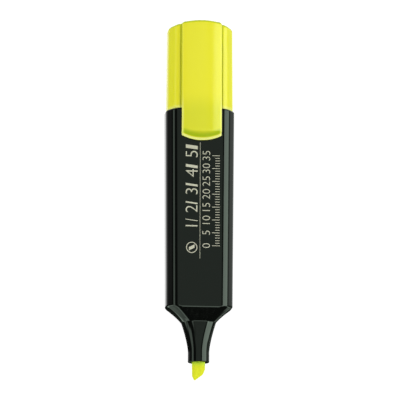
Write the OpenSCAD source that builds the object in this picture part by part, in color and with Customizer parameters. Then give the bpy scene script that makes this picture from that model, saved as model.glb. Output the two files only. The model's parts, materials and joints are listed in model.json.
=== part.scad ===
// Chisel-tip highlighter lying on its back, with its cap pushed onto the rear end.
// The pen runs along Y: the nib points to -Y, the cap's crown to +Y, and the pocket clip faces up.
// The origin is the middle of the whole pen on the surface that it lies on.

/* [Barrel] */
// Length of the barrel's full section, from the shoulder edge to the rear step
barrel_len = 77; // [60:0.5:95]
// Width of the barrel at the rear step
barrel_w_rear = 26.6; // [25.8:0.1:27.2]
// Width of the barrel at the shoulder edge
barrel_w_front = 25.6; // [25.2:0.1:25.8]
// Depth of the barrel, from its front face to its back face
barrel_d = 16; // [15.6:0.1:17]
// Width of the bevel along each long edge, seen from the front
bevel_w = 3.1; // [2.6:0.1:3.4]
// Depth of each side face, between its two bevels
side_d = 7; // [5.5:0.1:8]
// Radius that rounds the long edges
edge_r = 4.2; // [3:0.1:4.4]
// Wall thickness at the shoulder edge
barrel_wall = 1.6; // [1.4:0.05:1.7]

/* [Shoulder and snout] */
// Length of the sloping shoulder
shoulder_len = 5.6; // [4.5:0.1:7]
// Width of the snout where it leaves the shoulder
neck_w = 13; // [12.5:0.1:14.5]
// Depth of the snout where it leaves the shoulder
neck_d = 11.6; // [11:0.1:12.5]
// Length of the tapered part of the snout
taper_len = 10.1; // [9:0.1:11]
// Length of the round tube at the snout's end
tube_len = 5.2; // [4.6:0.1:6]
// Outer radius of the round tube
tube_r = 4.1; // [4:0.05:4.3]

/* [Nib] */
// Width of the nib, across the stroke
nib_w = 5; // [4.6:0.1:5.2]
// Thickness of the nib
nib_t = 4; // [3.6:0.1:4.4]
// Length of nib that stands out of the snout
nib_out = 7.1; // [6:0.1:8]
// Angle of the slanted writing edge to the width of the nib
nib_slant = 37; // [30:1:42]
// Half of the angle between the two faces of the chisel
nib_wedge = 24; // [20:1:28]

/* [Cap] */
// Length of the cap over the middle of its domed crown
cap_len = 33.8; // [33.6:0.1:36]
// Width of the cap at its rim
cap_w_rim = 25.4; // [25.2:0.1:25.6]
// Width of the cap at its crown
cap_w_crown = 25; // [24.8:0.1:25.2]
// Depth of the cap, from its front face to its back face
cap_d = 15.4; // [15.2:0.05:15.5]
// Wall thickness of the cap at its rim
cap_wall = 1; // [0.9:0.05:1.1]
// Radius of the arched crown, seen from the front
crown_r = 42; // [36:1:60]
// Radius of the arched joint between the barrel's rear end and the cap's rim, seen from the front
rim_r = 140; // [60:1:200]
// Length of the plug's spigot, over which the cap is pushed
spigot_len = 9.2; // [7:0.1:12]

/* [Clip] */
// Width of the clip
clip_w = 15.4; // [13:0.1:16]
// Thickness of the clip along its middle
clip_t = 1.6; // [1.4:0.05:1.7]
// Height of the clip's outer surface over the barrel's front face
clip_rise = 3.4; // [3.2:0.05:3.8]
// How far the clip reaches past the rim of the cap
clip_reach = 13; // [8:0.5:18]
// Length of the block that joins the clip to the crown
clip_root = 9; // [6:0.5:14]
// Radius of the clip's crosswise crown
clip_bow_r = 20; // [18:1:26]
// Radius of the clip's rounded end, seen from the front
clip_end_r = 16.5; // [12:0.5:30]

/* [Hidden] */

$fn = 64;
eps = 0.01;              // thickness of the slices that a hull joins
over = 1;                // how far a cutter runs past the faces that it cuts
corner_faces = 4;        // narrow faces that round each corner of a straight bar
fit = 0.1;               // sliding clearance each side between the spigot and the cap
rim_drop = 2;            // how far below the middle of the rim its arch can reach at the sides

// Stations along the pen, from the tip of the nib to the middle of the crown
snout_len = shoulder_len + taper_len + tube_len;
pen_len = nib_out + snout_len + barrel_len + cap_len;
y_tip = -pen_len / 2;
y_mouth = y_tip + nib_out;
y_taper = y_mouth + tube_len;
y_neck = y_taper + taper_len;
y_shoulder = y_neck + shoulder_len;
y_rim = y_shoulder + barrel_len;
y_crown = y_rim + cap_len;
axis_z = barrel_d / 2;

// A section across the pen is an octagon: [width, depth, width of the face, depth of the side]
function turn(s) = atan2(s[1] - s[3], s[0] - s[2]);
function inset(s, t) = [s[0] - 2 * t, s[1] - 2 * t,
                        s[2] - 2 * t * tan(turn(s) / 2),
                        s[3] - 2 * t * tan((90 - turn(s)) / 2)];
function corners(s) = [for (q = [[1, 1], [-1, 1], [-1, -1], [1, -1]])
                       for (p = q[0] * q[1] > 0 ? [[s[0], s[3]], [s[2], s[1]]]
                                                : [[s[2], s[1]], [s[0], s[3]]])
                       [q[0] * p[0] / 2, q[1] * p[1] / 2]];

// The angles of a section's outward normals, and its outline with rounded corners of radius r
function normals(s) = [for (q = [0, 180]) for (n = [0, 90 - turn(s), 90, 90 + turn(s)]) q + n];
function rounded(s, r) = let(p = corners(inset(s, r)), n = concat(normals(s), [360]))
                         [for (i = [0:7], k = [0:corner_faces])
                          let(a = n[i] + (n[i + 1] - n[i]) * k / corner_faces)
                          p[i] + r * [cos(a), sin(a)]];

rear_section = [barrel_w_rear, barrel_d, barrel_w_rear - 2 * bevel_w, side_d];
front_section = [barrel_w_front, barrel_d, barrel_w_front - 2 * bevel_w, side_d];
neck_section = [neck_w, neck_d, 6.4, 7.8];
neck_edge_r = 3.6;
bore_section = inset(front_section, barrel_wall);
bore_edge_r = edge_r - barrel_wall;
rim_section = [cap_w_rim, cap_d, cap_w_rim - 2 * bevel_w, side_d - 0.3];
crown_section = [cap_w_crown, cap_d, cap_w_crown - 2 * bevel_w, side_d - 0.3];
cap_bore_section = inset(rim_section, cap_wall);
cap_bore_edge_r = edge_r - cap_wall;
spigot_section = inset(cap_bore_section, fit);

// Inside the barrel
bore_front = 0.8;                       // the bore stops this far behind the shoulder edge
bore_y = y_shoulder + bore_front;
throat_r1 = 5.4;                        // radii of the cone that leads from the bore to the nib
throat_r2 = 3.3;
reservoir_r = bore_section[1] / 2 - 0.1;
film_t = 0.15;                          // thickness of the film round the reservoir
rib_t = 1.2;                            // thickness of the ribs that centre the reservoir
rib_z = 2.6;                            // their height above and below the pen's axis
skirt_len = 7;                          // length of the plug inside the barrel
reservoir_y = y_rim - skirt_len;        // rear end of the reservoir
nib_root = 5;                           // length of nib inside the reservoir
nib_corner_r = 1.3;                     // radius of the nib's long edges
groove_w = 1.2;                         // width and depth of the air grooves beside the nib
groove_d = 0.5;

// Plug
plug_wall = 1.1;
plug_end = 1.4;
plug_rib_t = 0.8;
plug_rib_x = 5;

// Inside the cap, measured from its rim
cap_bore_depth = 30.5;
liner_plate = 1.2;
liner_mouth = 15.5;
liner_r = 5;
seal_r = tube_r + 0.05;
lead_in = 0.8;                          // length of the liner's flared mouth
lead_r = 4.6;
fin_t = 0.9;
fin_start = 18;

// Clip
clip_top = barrel_d + clip_rise;
clip_y0 = y_rim - clip_reach;           // free end of the clip
hinge_y = y_crown - clip_root;
hinge_gap = 0.12;
clip_hollow_r = 30;                     // radius of the clip's hollow underside
pad_r = 1.4;                            // radius of the bump under the free end
pad_gap = 0.12;                         // its distance from the barrel
pad_y = clip_y0 + 3.2;
block_len = 5.6;                        // length of the free end that isn't hollow underneath
block_gap = 0.5;                        // its distance from the barrel
lip_len = 1.3;                          // flat lip at the free end
lip_drop = 2.2;                         // its depth under the clip's outer surface
slope_len = 2.2;                        // slope between the lip and the outer surface

// A straight bar whose section stays the same from station y0 to y1
module bar(y0, y1, s, r) {
    translate([0, y1, axis_z]) rotate([90, 0, 0]) linear_extrude(y1 - y0) polygon(rounded(s, r));
}

// A round bar or cone along the pen
module round_bar(y0, y1, r0, r1) {
    translate([0, y0, axis_z]) rotate([-90, 0, 0]) cylinder(h = y1 - y0, r1 = r0, r2 = r1);
}

// Thin discs at the corners of a section, for a hull that rounds its long edges
module ring(y, s, r) {
    for (p = corners(inset(s, r)))
        translate([p[0], y, axis_z + p[1]]) rotate([-90, 0, 0]) cylinder(h = eps, r = r, $fn = 32);
}

module loft(y0, s0, r0, y1, s1, r1) {
    hull() {
        ring(y0, s0, r0);
        ring(y1 - eps, s1, r1);
    }
}

// Everything in front of the arched joint between the barrel and the cap
module rim_arch() {
    translate([0, y_rim - rim_r, -over]) cylinder(h = clip_top + 2 * over, r = rim_r, $fn = 256);
}

// The nib's outline across the pen, grown by g on its flat sides
module nib_outline(g = 0) {
    r = nib_corner_r;
    square([nib_w - 2 * r, nib_t + 2 * g], center = true);
    square([nib_w + 2 * g, nib_t - 2 * r], center = true);
    for (sx = [-1, 1], sz = [-1, 1])
        translate([sx * (nib_w / 2 - r), sz * (nib_t / 2 - r)]) circle(r);
}

module nib_bar(y0, y1) {
    translate([0, y1, axis_z]) rotate([90, 0, 0]) linear_extrude(y1 - y0) nib_outline();
}

module air_grooves() {
    for (turned = [0, 90])
        translate([0, (y_mouth + y_neck) / 2, axis_z]) rotate([0, turned, 0])
            cube([(turned == 0 ? nib_w : nib_t) + 2 * groove_d,
                  y_neck - y_mouth + 2 * over, groove_w], center = true);
}

module locating_ribs() {
    reach = bore_section[0] / 2 + over;
    for (side = [-1, 1], level = [-1, 1])
        translate([side > 0 ? 0 : -reach, bore_y - over, axis_z + level * rib_z - rib_t / 2])
            cube([reach, reservoir_y - bore_y, rib_t]);
}

module barrel_bore() {
    difference() {
        bar(bore_y, y_rim + over, bore_section, bore_edge_r);
        difference() {
            locating_ribs();
            round_bar(bore_y - 2 * over, y_rim, reservoir_r, reservoir_r);
        }
    }
    round_bar(y_neck, bore_y + eps, throat_r2, throat_r1);
    nib_bar(y_mouth - over, y_neck + eps);
    air_grooves();
}

module barrel() {
    color("#1b1d1c") difference() {
        union() {
            intersection() {
                loft(y_shoulder, front_section, edge_r, y_rim, rear_section, edge_r);
                rim_arch();
            }
            loft(y_neck, neck_section, neck_edge_r, y_shoulder + eps, front_section, edge_r);
            hull() {
                round_bar(y_taper, y_taper + eps, tube_r, tube_r);
                ring(y_neck, neck_section, neck_edge_r);
            }
            round_bar(y_mouth, y_taper + eps, tube_r, tube_r);
        }
        barrel_bore();
    }
}

module rear_plug() {
    hollow = inset(bore_section, plug_wall);
    hollow_edge_r = bore_edge_r - plug_wall;
    color("#1b1d1c") difference() {
        union() {
            bar(y_rim - skirt_len, y_rim, bore_section, bore_edge_r);
            difference() {
                bar(y_rim - rim_drop, y_rim + spigot_len, spigot_section, cap_bore_edge_r - fit);
                rim_arch();
            }
        }
        difference() {
            bar(y_rim - skirt_len - over, y_rim + spigot_len - plug_end, hollow, hollow_edge_r);
            for (x = [-plug_rib_x, 0, plug_rib_x])
                translate([x - plug_rib_t / 2, y_rim - skirt_len, 0])
                    cube([plug_rib_t, skirt_len + spigot_len, barrel_d]);
        }
    }
}

// Cuts the front or the back of the nib down to its slanted writing edge
module chisel_cut(face) {
    edge_half = 0.45;
    translate([-nib_w / 2, y_tip, axis_z + face * edge_half]) rotate([0, 0, nib_slant])
        rotate([face * nib_wedge, 0, 0])
            translate([-2 * nib_w, -nib_w, face > 0 ? 0 : -nib_t]) cube([5 * nib_w, 4 * nib_w, nib_t]);
}

module chisel_nib() {
    color("#d9e021") difference() {
        nib_bar(y_tip, bore_y + nib_root);
        translate([-nib_w / 2, y_tip, 0]) rotate([0, 0, nib_slant])
            translate([-nib_w, -2 * nib_w, 0]) cube([4 * nib_w, 2 * nib_w, barrel_d]);
        for (face = [-1, 1])
            chisel_cut(face);
    }
}

module ink_reservoir() {
    core_r = reservoir_r - film_t;
    color("#dfe873") difference() {
        round_bar(bore_y, reservoir_y, core_r, core_r);
        nib_bar(bore_y - over, bore_y + nib_root);
    }
}

module reservoir_wrap() {
    core_r = reservoir_r - film_t;
    color("#f4f6ee") difference() {
        round_bar(bore_y, reservoir_y, reservoir_r, reservoir_r);
        round_bar(bore_y - over, reservoir_y + over, core_r, core_r);
    }
}

// The clip's slab, bowed on top and flat at the height of its bottom
module clip_slab(y0, y1, bottom) {
    translate([0, y1, 0]) rotate([90, 0, 0]) linear_extrude(y1 - y0) intersection() {
        translate([0, clip_top - clip_bow_r]) circle(clip_bow_r, $fn = 128);
        translate([-clip_w / 2, bottom]) square([clip_w, clip_top - bottom]);
    }
}

module cap_shell() {
    color("#e3e52b") difference() {
        intersection() {
            union() {
                loft(y_rim - rim_drop, rim_section, edge_r, y_crown, crown_section, edge_r);
                clip_slab(hinge_y, y_crown, axis_z);
            }
            translate([0, y_crown - crown_r, -over])
                cylinder(h = clip_top + 2 * over, r = crown_r, $fn = 128);
        }
        bar(y_rim - rim_drop - over, y_rim + cap_bore_depth, cap_bore_section, cap_bore_edge_r);
        rim_arch();
    }
}

module inner_cap() {
    y_plate = y_rim + cap_bore_depth - liner_plate;
    y_open = y_rim + liner_mouth;
    fin_x = cap_bore_section[0] / 2;
    color("#eef0a0") difference() {
        union() {
            bar(y_plate, y_rim + cap_bore_depth, cap_bore_section, cap_bore_edge_r);
            round_bar(y_open, y_plate + eps, liner_r, liner_r);
            translate([-fin_x, y_rim + fin_start, axis_z - fin_t / 2])
                cube([2 * fin_x, y_plate - y_rim - fin_start + eps, fin_t]);
        }
        round_bar(y_open - over, y_plate, seal_r, seal_r);
        round_bar(y_open - eps, y_open + lead_in, lead_r, seal_r);
    }
}

module pocket_clip() {
    block_z = barrel_d + block_gap;
    color("#e3e52b") intersection() {
        difference() {
            union() {
                clip_slab(clip_y0, hinge_y - hinge_gap, block_z);
                intersection() {
                    translate([-clip_w / 2, pad_y, barrel_d + pad_gap + pad_r])
                        rotate([0, 90, 0]) cylinder(h = clip_w, r = pad_r);
                    translate([-clip_w / 2, clip_y0, 0]) cube([clip_w, block_len, block_z + eps]);
                }
            }
            translate([0, clip_y0 + block_len, clip_top - clip_t - clip_hollow_r])
                rotate([-90, 0, 0]) cylinder(h = pen_len, r = clip_hollow_r, $fn = 128);
            translate([-clip_w, clip_y0 - over, clip_top - lip_drop])
                cube([2 * clip_w, lip_len + over, lip_drop + over]);
            translate([-clip_w, clip_y0 + lip_len, clip_top - lip_drop])
                rotate([atan2(lip_drop, slope_len), 0, 0])
                    cube([2 * clip_w, slope_len + lip_drop, lip_drop + over]);
        }
        translate([0, clip_y0 + clip_end_r, 0])
            linear_extrude(clip_top + over) union() {
                circle(clip_end_r, $fn = 128);
                translate([-clip_w, 0]) square([2 * clip_w, pen_len]);
            }
    }
}

barrel();
rear_plug();
chisel_nib();
ink_reservoir();
reservoir_wrap();
cap_shell();
inner_cap();
pocket_clip();
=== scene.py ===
"""Looks of a chisel-tip highlighter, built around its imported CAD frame.

The pen lies on its back along Y: the nib points to -Y, the cap is pushed onto the rear end
and the pocket clip faces up. All sizes are in metres, in the frame's own coordinates.
"""

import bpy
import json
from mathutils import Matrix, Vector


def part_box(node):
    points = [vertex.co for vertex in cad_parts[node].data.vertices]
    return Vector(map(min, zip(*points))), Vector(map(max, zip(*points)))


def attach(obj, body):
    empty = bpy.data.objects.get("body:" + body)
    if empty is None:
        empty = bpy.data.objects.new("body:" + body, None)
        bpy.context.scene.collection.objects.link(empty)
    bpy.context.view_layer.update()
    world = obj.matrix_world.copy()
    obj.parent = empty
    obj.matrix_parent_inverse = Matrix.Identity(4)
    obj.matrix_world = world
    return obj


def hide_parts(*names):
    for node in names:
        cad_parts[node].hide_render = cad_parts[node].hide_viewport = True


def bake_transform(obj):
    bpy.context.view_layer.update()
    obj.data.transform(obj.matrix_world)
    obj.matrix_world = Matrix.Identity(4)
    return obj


bl_info = {
    "name": "Highlighter",
    "version": (1, 0, 0),
    "blender": (4, 5, 0),
    "location": "3D View > Sidebar > Highlighter",
    "description": "Builds the finished looks of a chisel-tip highlighter around its CAD frame",
    "category": "Object",
}

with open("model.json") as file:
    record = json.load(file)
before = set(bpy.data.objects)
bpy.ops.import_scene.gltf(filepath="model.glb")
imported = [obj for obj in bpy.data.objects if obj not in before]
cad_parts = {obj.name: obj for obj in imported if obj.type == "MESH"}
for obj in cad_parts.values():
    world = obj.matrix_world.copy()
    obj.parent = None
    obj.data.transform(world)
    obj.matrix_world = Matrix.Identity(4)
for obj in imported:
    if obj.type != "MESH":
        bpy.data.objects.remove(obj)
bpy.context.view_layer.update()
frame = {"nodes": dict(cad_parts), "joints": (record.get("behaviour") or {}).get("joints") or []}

import json
import math

import bmesh
import bpy
import numpy as np
from bpy.props import FloatProperty, FloatVectorProperty, IntProperty, PointerProperty
from mathutils import Matrix, Vector

MM = 0.001

BARREL_LOW, BARREL_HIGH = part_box("barrel")
PLUG_LOW, PLUG_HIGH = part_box("rear_plug")
NIB_LOW, NIB_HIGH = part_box("chisel_nib")
CAP_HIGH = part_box("cap_shell")[1]
CLIP_LOW, CLIP_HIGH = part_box("pocket_clip")
CLIP_JOINT = next(j for j in frame["joints"] if j["name"] == "clip_flex")

MOUTH_Y = BARREL_LOW.y
RIM_Y = BARREL_HIGH.y
CROWN_Y = CAP_HIGH.y
FRONT_Z = BARREL_HIGH.z
AXIS_Z = BARREL_HIGH.z / 2

# Steps of a section's corners and flats, and of the quarter round over an edge
ARC_STEPS = 24
CAP_ARC_STEPS = 40
FLAT_STEPS = 2
FILLET_STEPS = 8
CLIP_FILLET_STEPS = 6

# Rings of the flat that closes the crown of the cap and of the clip, with the ring at its rim
CAP_END_RINGS = 7
CLIP_END_RINGS = 4

SHARP_DEGREES = 32.0

# How the width, depth, face, side and edge radius of the barrel's sections change. Along the
# snout each follows its power of the way. On the shoulder each follows the way, less its sag
# times the way times the way that is left.
SNOUT_POWERS = np.array([1.4, 1.24, 2.0, 1.24, 1.24])
SHOULDER_SAG = np.array([0.3, 0.0, 0.0, 0.0, 0.0])


# ---------------------------------------------------------------- sizes and colours

def length(name, description, default):
    return FloatProperty(name=name, description=description, default=default,
                         min=0.0, unit="LENGTH", precision=5)


def colour(name, description, default):
    return FloatVectorProperty(name=name, description=description, default=default,
                               size=3, min=0.0, max=1.0, subtype="COLOR")


class BarrelSizes(bpy.types.PropertyGroup):
    """Sizes of the black barrel."""

    front_width: length("Front width", "Width at the shoulder edge", 25.6 * MM)
    bevel: length("Bevel", "Width of each long bevel, seen from the front", 3.1 * MM)
    side: length("Side", "Depth of each flat side, before its edges are rounded", 7.0 * MM)
    edge: length("Edge radius", "Radius that rounds the long edges", 4.2 * MM)
    wall: length("Wall", "Thickness of the barrel's wall", 1.6 * MM)
    shoulder: length("Shoulder", "Length of the sloping shoulder", 5.6 * MM)
    taper: length("Taper", "Length of the tapered part of the snout", 10.1 * MM)
    tube: length("Tube", "Length of the round tube at the snout's end", 5.2 * MM)
    tube_radius: length("Tube radius", "Outer radius of the round tube", 4.1 * MM)
    neck_width: length("Neck width", "Width of the snout at the shoulder", 13.0 * MM)
    neck_depth: length("Neck depth", "Depth of the snout at the shoulder", 11.6 * MM)
    neck_face: length("Neck face", "Width of the snout's front face at the shoulder", 6.4 * MM)
    neck_side: length("Neck side", "Depth of the snout's side at the shoulder", 7.8 * MM)
    neck_edge: length("Neck edge radius", "Radius of the snout's edges at the shoulder", 3.6 * MM)
    rim_radius: length("Rim arch", "Radius of the arched joint between barrel and cap", 140.0 * MM)


class CapSizes(bpy.types.PropertyGroup):
    """Sizes of the yellow cap."""

    rim_width: length("Rim width", "Width of the cap at its rim", 25.4 * MM)
    crown_width: length("Crown width", "Width of the cap at its crown", 25.0 * MM)
    depth: length("Depth", "Depth of the cap from its front face to its back", 15.4 * MM)
    side: length("Side", "Depth of each flat side, before its edges are rounded", 6.7 * MM)
    wall: length("Wall", "Thickness of the cap's wall", 1.0 * MM)
    crown_radius: length("Crown arch", "Radius of the arched crown, seen from the front", 42.0 * MM)
    crown_edge: length("Crown edge", "Radius that rounds the crown's edge", 1.1 * MM)
    bore: length("Bore", "Depth of the hollow from the rim", 30.5 * MM)
    groove: length("Groove", "Width of the groove along each side of the clip", 0.6 * MM)
    groove_depth: length("Groove depth", "Depth of those grooves", 0.4 * MM)


class ClipSizes(bpy.types.PropertyGroup):
    """Sizes of the pocket clip."""

    bow: length("Bow radius", "Radius of the clip's crosswise arch", 20.0 * MM)
    thickness: length("Thickness", "Thickness of the clip along its middle", 1.6 * MM)
    hollow: length("Hollow radius", "Radius of the hollow underside", 30.0 * MM)
    end: length("End radius", "Radius of the rounded free end, seen from the front", 16.5 * MM)
    lip: length("Lip", "Length of the flat lip at the free end", 0.95 * MM)
    drop: length("Lip drop", "Depth of the lip under the clip's outer surface", 2.2 * MM)
    slope: length("Slope", "Length of the slope above the lip", 2.5 * MM)
    edge: length("Edge radius", "Radius of the clip's long outer edges", 0.5 * MM)


class NibSizes(bpy.types.PropertyGroup):
    """Sizes of the felt nib."""

    corner: length("Corner radius", "Radius of the nib's long edges", 1.3 * MM)
    wedge: length("Wedge length", "Length of the two cut faces, along the pen", 4.4 * MM)
    edge: length("Writing edge", "Half of the thickness left at the writing edge", 0.42 * MM)
    slant: FloatProperty(name="Slant", description="Angle of the writing edge to the nib's width",
                         default=math.radians(37), subtype="ANGLE")
    tip: length("Tip offset", "Distance of the lowest point from the nib's long side", 0.9 * MM)
    heel: length("Heel", "Width of the worn corner at the short side", 0.75 * MM)


class PrintSizes(bpy.types.PropertyGroup):
    """Sizes of the foil print: stroke samples, a short ruler, a plain sign and a rule."""

    rule: length("Rule", "Width of the long thin rule", 0.14 * MM)
    sample: length("Sample height", "Height of the stroke samples and their numbers", 4.6 * MM)
    number: length("Number height", "Height of the ruler's numbers", 2.9 * MM)
    tick: length("Tick width", "Width of the ruler's ticks", 0.22 * MM)
    foil: length("Foil", "Thickness of the foil", 0.012 * MM)
    strokes: IntProperty(name="Strokes", description="How many stroke widths are shown",
                         default=5, min=1, max=5)
    ruler: IntProperty(name="Ruler", description="Length of the ruler in millimetres",
                       default=35, min=10, max=35)


class Finishes(bpy.types.PropertyGroup):
    """Colours of the finishes."""

    black: colour("Barrel", "Colour of the black plastic", (0.0022, 0.0026, 0.0022))
    yellow: colour("Cap", "Colour of the fluorescent plastic", (0.87, 0.835, 0.029))
    felt: colour("Nib", "Colour of the felt soaked with ink", (0.78, 0.83, 0.013))
    foil: colour("Foil", "Colour of the foil print", (0.79, 0.745, 0.60))
    liner: colour("Liner", "Colour of the liner in the cap", (0.72, 0.75, 0.36))
    plug: colour("Plug", "Colour of the rear plug", (0.006, 0.0065, 0.006))


class HighlighterSettings(bpy.types.PropertyGroup):
    """Everything that a user may change."""

    barrel: PointerProperty(type=BarrelSizes)
    cap: PointerProperty(type=CapSizes)
    clip: PointerProperty(type=ClipSizes)
    nib: PointerProperty(type=NibSizes)
    print: PointerProperty(type=PrintSizes)
    finish: PointerProperty(type=Finishes)


# ---------------------------------------------------------------- surfaces

def outline(sizes, arcs=ARC_STEPS, flats=FLAT_STEPS):
    """Outlines across the pen, as points (count, around, 2) and outward normals of that shape.

    Each row of sizes is the width, depth, face, side and edge radius of one section. The
    section is an octagon with every corner rounded: the octagon is moved inwards by the edge
    radius, and a circle of that radius is carried round its corners, turning by the angle
    between the two flats that meet there.
    """
    width, depth, face, side, edge = np.atleast_2d(np.asarray(sizes, float)).T
    turn = np.arctan2(depth - side, width - face)
    half_face = face / 2 - edge * np.tan(turn / 2)
    half_side = side / 2 - edge * np.tan((np.pi / 2 - turn) / 2)
    by_side = np.stack([width / 2 - edge, half_side], -1)
    by_face = np.stack([half_face, depth / 2 - edge], -1)
    left = np.array([-1, 1])
    corners = np.stack([by_side, by_face, by_face * left, by_side * left,
                        -by_side, -by_face, -by_face * left, -by_side * left], 1)
    half = np.stack([0 * turn, np.pi / 2 - turn, np.pi / 2 + 0 * turn, np.pi / 2 + turn], 1)
    starts = np.concatenate([half, half + np.pi, np.full((len(turn), 1), 2 * np.pi)], 1)
    share = np.linspace(0, 1, arcs + 1)
    angles = starts[:, :-1, None] + np.diff(starts, axis=1)[..., None] * share
    normals = np.stack([np.cos(angles), np.sin(angles)], -1)
    rounded = corners[:, :, None] + edge[:, None, None, None] * normals
    gap = np.roll(rounded[:, :, 0], -1, axis=1) - rounded[:, :, -1]
    steps = np.linspace(0, 1, flats + 1)[1:-1, None]
    flat = rounded[:, :, -1:] + gap[:, :, None] * steps
    flat_normals = np.repeat(normals[:, :, -1:], flats - 1, axis=2)
    points = np.concatenate([rounded, flat], 2).reshape(len(turn), -1, 2)
    return points, np.concatenate([normals, flat_normals], 2).reshape(points.shape)


def octagon(width, depth, bevel, side, edge):
    """Sizes of a section whose bevels take up the same width on both sides."""
    return np.array([width, depth, width - 2 * bevel, side, edge])


def round_section(radius):
    """Sizes of a section that is a circle."""
    flat = 2 * radius * math.tan(math.pi / 8)
    return np.array([2 * radius, 2 * radius, flat, flat, radius])


def rectangle_section(width, depth, corner):
    """Sizes of a section that is a rectangle with rounded corners."""
    flat = 2 * corner * (1 - math.tan(math.pi / 8))
    return np.array([width, depth, width - flat, depth - flat, corner])


def thinner(sizes, wall):
    """Sizes of a section moved inwards by a wall's thickness."""
    width, depth, face, side, edge = np.asarray(sizes, float).T
    turn = np.arctan2(depth - side, width - face)
    return np.stack([width - 2 * wall, depth - 2 * wall, face - 2 * wall * np.tan(turn / 2),
                     side - 2 * wall * np.tan((np.pi / 2 - turn) / 2), edge - wall], -1)


def arch(x, radius):
    """How far an arch of that radius has fallen at the distance x from its middle."""
    return radius - np.sqrt(radius ** 2 - x ** 2)


def soft_low(a, b, blend):
    """The lower of two heights, with the crossing rounded over about the blend."""
    share = np.clip(0.5 + 0.5 * (b - a) / blend, 0, 1)
    return b + (a - b) * share - blend * share * (1 - share)


def smooth_step(value, start, end):
    """0 before the start and 1 after the end, with a cubic ease between them."""
    share = np.clip((value - start) / (end - start), 0, 1)
    return share * share * (3 - 2 * share)


def ring(points, y):
    """Rings (count, around, 3) from points across the pen and their stations along it."""
    y = np.broadcast_to(y, points.shape[:-1])
    return np.stack([points[..., 0], y, points[..., 1]], -1)


def on_axis(points):
    """Points measured from the pen's axis, moved to their height over the surface."""
    return points + np.array([0, AXIS_Z])


def fillet(steps=FILLET_STEPS):
    """Inset and drop of a quarter round of radius 1, from the wall to the end face."""
    angle = np.linspace(0, np.pi / 2, steps + 1)
    return 1 - np.cos(angle), 1 - np.sin(angle)


def edge_round(sizes, edge, arcs=ARC_STEPS):
    """Points of a section's outer edge as it rounds over into its end face: each ring is moved
    inwards along the normals, and lies the second result away from the end face."""
    inset, drop = fillet()
    points, normals = outline([sizes], arcs)
    return points - normals * (inset * edge)[:, None, None], (edge * drop)[:, None]


def stretches(marks, steps):
    """Stations through the given marks, with so many equal steps from each mark to the next."""
    parts = [np.linspace(start, end, count, endpoint=False)
             for start, end, count in zip(marks, marks[1:], steps)]
    return np.concatenate([*parts, marks[-1:]])


def add_mesh(name, points, faces, sharp=SHARP_DEGREES):
    """A smooth-shaded mesh object from an array of points and lists of faces."""
    mesh = bpy.data.meshes.new(name)
    mesh.from_pydata(points.tolist(), [], faces)
    mesh.shade_smooth()
    mesh.set_sharp_from_angle(angle=math.radians(sharp))
    piece = bpy.data.objects.new(name, mesh)
    bpy.context.scene.collection.objects.link(piece)
    weighted = piece.modifiers.new("Even shading", "WEIGHTED_NORMAL")
    weighted.keep_sharp = True
    return piece


def add_tube(name, rings, start=None, end=None, sharp=SHARP_DEGREES):
    """A closed surface through rings of points. It ends in the points start and end, or runs
    back to its first ring if there are none. The faces are turned so that the volume that
    they enclose, the sum of the tetrahedra from the origin, is positive.
    """
    count, around = rings.shape[:2]
    index = np.arange(count * around).reshape(count, around)
    rows = index if start is not None else np.vstack([index, index[:1]])
    after = np.roll(rows, -1, axis=1)
    quads = np.stack([rows[:-1], rows[1:], after[1:], after[:-1]], -1).reshape(-1, 4)
    points = rings.reshape(-1, 3)
    corners = points[quads]
    cross = np.cross(corners[:, 1] - corners[:, 3], corners[:, 2] - corners[:, 0])
    outward = np.einsum("ij,ij->", corners.mean(1), cross) > 0
    fans = np.zeros((0, 3), int)
    if start is not None:
        low, high = index[0], index[-1]
        first = np.stack([low, np.roll(low, -1), np.full(around, len(points))], -1)
        last = np.stack([np.roll(high, -1), high, np.full(around, len(points) + 1)], -1)
        fans = np.concatenate([first, last])
        points = np.vstack([points, start, end])
    if not outward:
        quads, fans = quads[:, ::-1], fans[:, ::-1]
    return add_mesh(name, points, quads.tolist() + fans.tolist(), sharp)


def set_attribute(piece, name, values):
    """Stores one number per vertex."""
    layer = piece.data.attributes.new(name, "FLOAT", "POINT")
    layer.data.foreach_set("value", np.asarray(values, np.float32))


def coordinates(mesh):
    """The mesh's vertices as an array."""
    flat = np.zeros(len(mesh.vertices) * 3, np.float32)
    mesh.vertices.foreach_get("co", flat)
    return flat.reshape(-1, 3)


def crown_shade(points, radius):
    """Painted shade round the crown's edge, as one number per point: full just
    under the edge and none further down."""
    full, start, end = 0.7, 0.45 * MM, 1.05 * MM
    below = CROWN_Y - arch(points[:, 0], radius) - points[:, 1]
    return full * (1 - smooth_step(below, start, end))


def from_groove(x, groove):
    """Distance across the pen from the middle of the groove along each side of the clip."""
    return np.abs(np.abs(x) - CLIP_HIGH.x - 0.5 * groove)


def set_deep(piece, shares, around, end_rings):
    """Stores the greatest of several shares of painted shade as the attribute deep. The end
    face keeps none: the vertices end with its rings, of so many points around, and the two
    middle points."""
    deep = np.max(shares, axis=0)
    deep[-around * end_rings - 2:] = 0
    set_attribute(piece, "deep", deep)


# ---------------------------------------------------------------- finishes

# The factor and the two colours among the inputs of a Mix node for colours, and its output
MIX_INPUTS = (0, 6, 7)
MIX_OUTPUT = 2

# Painted shade: how the plastic's colour turns darker and greener where little light gets in,
# and how the felt turns greener at its root, in the snout's shade: factors for red, green and
# blue. Then the plastic's painted glow at a thin edge, and the film's two shades.
PAINTED_SHADE_TINT = (0.40, 0.62, 0.1)
ROOT_PAINTED_SHADE_TINT = (0.78, 1.17, 3.5)
# Painted glow: a lighter colour for the plastic's thin edges
PAINTED_EDGE_GLOW = (0.93, 0.98, 0.26, 1.0)
FILM_SHADES = ((0.86, 0.88, 0.70, 1.0), (0.93, 0.94, 0.84, 1.0))

SCRATCH_ROUGHNESS = 0.05

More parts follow.
